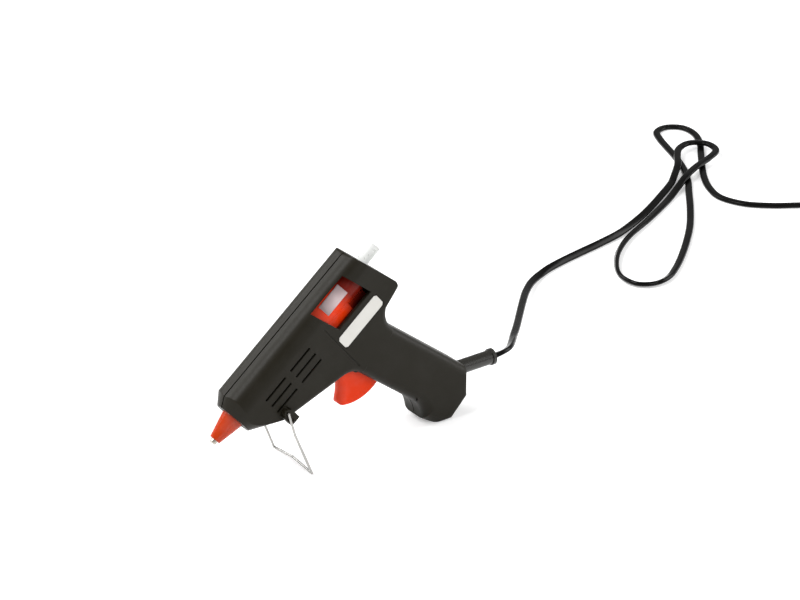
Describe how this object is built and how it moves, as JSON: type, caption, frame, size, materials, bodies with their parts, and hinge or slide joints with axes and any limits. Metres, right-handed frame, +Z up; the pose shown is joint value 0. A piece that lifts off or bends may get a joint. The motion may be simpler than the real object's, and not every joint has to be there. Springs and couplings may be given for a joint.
{
  "type": "hot glue applicator",
  "caption": "Small trigger-fed hot-melt glue gun standing nose-down on a folding wire stand, with a flat mains lead, sprung trigger and sliding stick carriage.",
  "frame": {"origin": "on the floor under the middle of the standing applicator, lead and plug left out", "axes": "+X from the nozzle to the lead outlet, +Y to the right-hand side, +Z up"},
  "size_m": [0.572, 0.2958, 0.1222],
  "materials": {
    "casing": "satin moulded black",
    "orange": "glossy orange-red moulding",
    "nozzle_cover": "soft orange-red silicone",
    "steel": "bright drawn steel",
    "alloy": "die-cast alloy",
    "ceramic": "off-white heater ceramic",
    "core": "glass-sleeved core",
    "bush": "grey silicone",
    "guide": "natural heat-proof moulding",
    "glue": "clear hot-melt glue",
    "black_rubber": "black flexible sleeve",
    "lead": "black flexible lead",
    "pin_metal": "plated pins"
  },
  "bodies": {
    "casing": {"left_shell": "casing", "right_shell": "casing", "casing_screws": "steel", "nozzle_cover": "nozzle_cover", "nozzle_tip": "alloy", "melt_chamber": "alloy", "heater_plate": "ceramic", "heater_leads": "core", "lead_crimps": "steel", "front_bush": "bush", "stick_guide": "guide", "return_spring": "steel", "trigger_pin": "steel", "strain_relief": "black_rubber", "cord_clamp": "casing", "clamp_screws": "steel", "cord": "lead", "cord_coil": "lead", "coil_tie": "lead", "plug_body": "black_rubber", "plug_pins": "pin_metal"},
    "trigger": {"trigger": "orange"},
    "feed": {"feed_carriage": "orange", "stick_grip": "steel", "glue_stick": "glue"},
    "stand": {"wire_stand": "steel"}
  },
  "joints": [
    {"name": "trigger_pivot", "type": "hinge", "parent": "casing", "child": "trigger", "pos_m": [-0.00695, 0, 0.05359], "axis": [0, -1, 0], "range_deg": [0, 18]},
    {"name": "feed_slide", "type": "slide", "parent": "casing", "child": "feed", "axis": [-0.7771, 0, -0.6293], "range_m": [0, 0.008], "stiffness_N_per_m": 300, "springref_m": -0.008, "deforming": ["return_spring"]},
    {"name": "stand_pivot", "type": "hinge", "parent": "casing", "child": "stand", "pos_m": [-0.05792, 0, 0.04217], "axis": [0, 1, 0], "range_deg": [0, 62]}
  ],
  "couplings": [
    {"joint": "trigger_pivot", "follows": "feed_slide", "rad_per_m": 38.462}
  ]
}
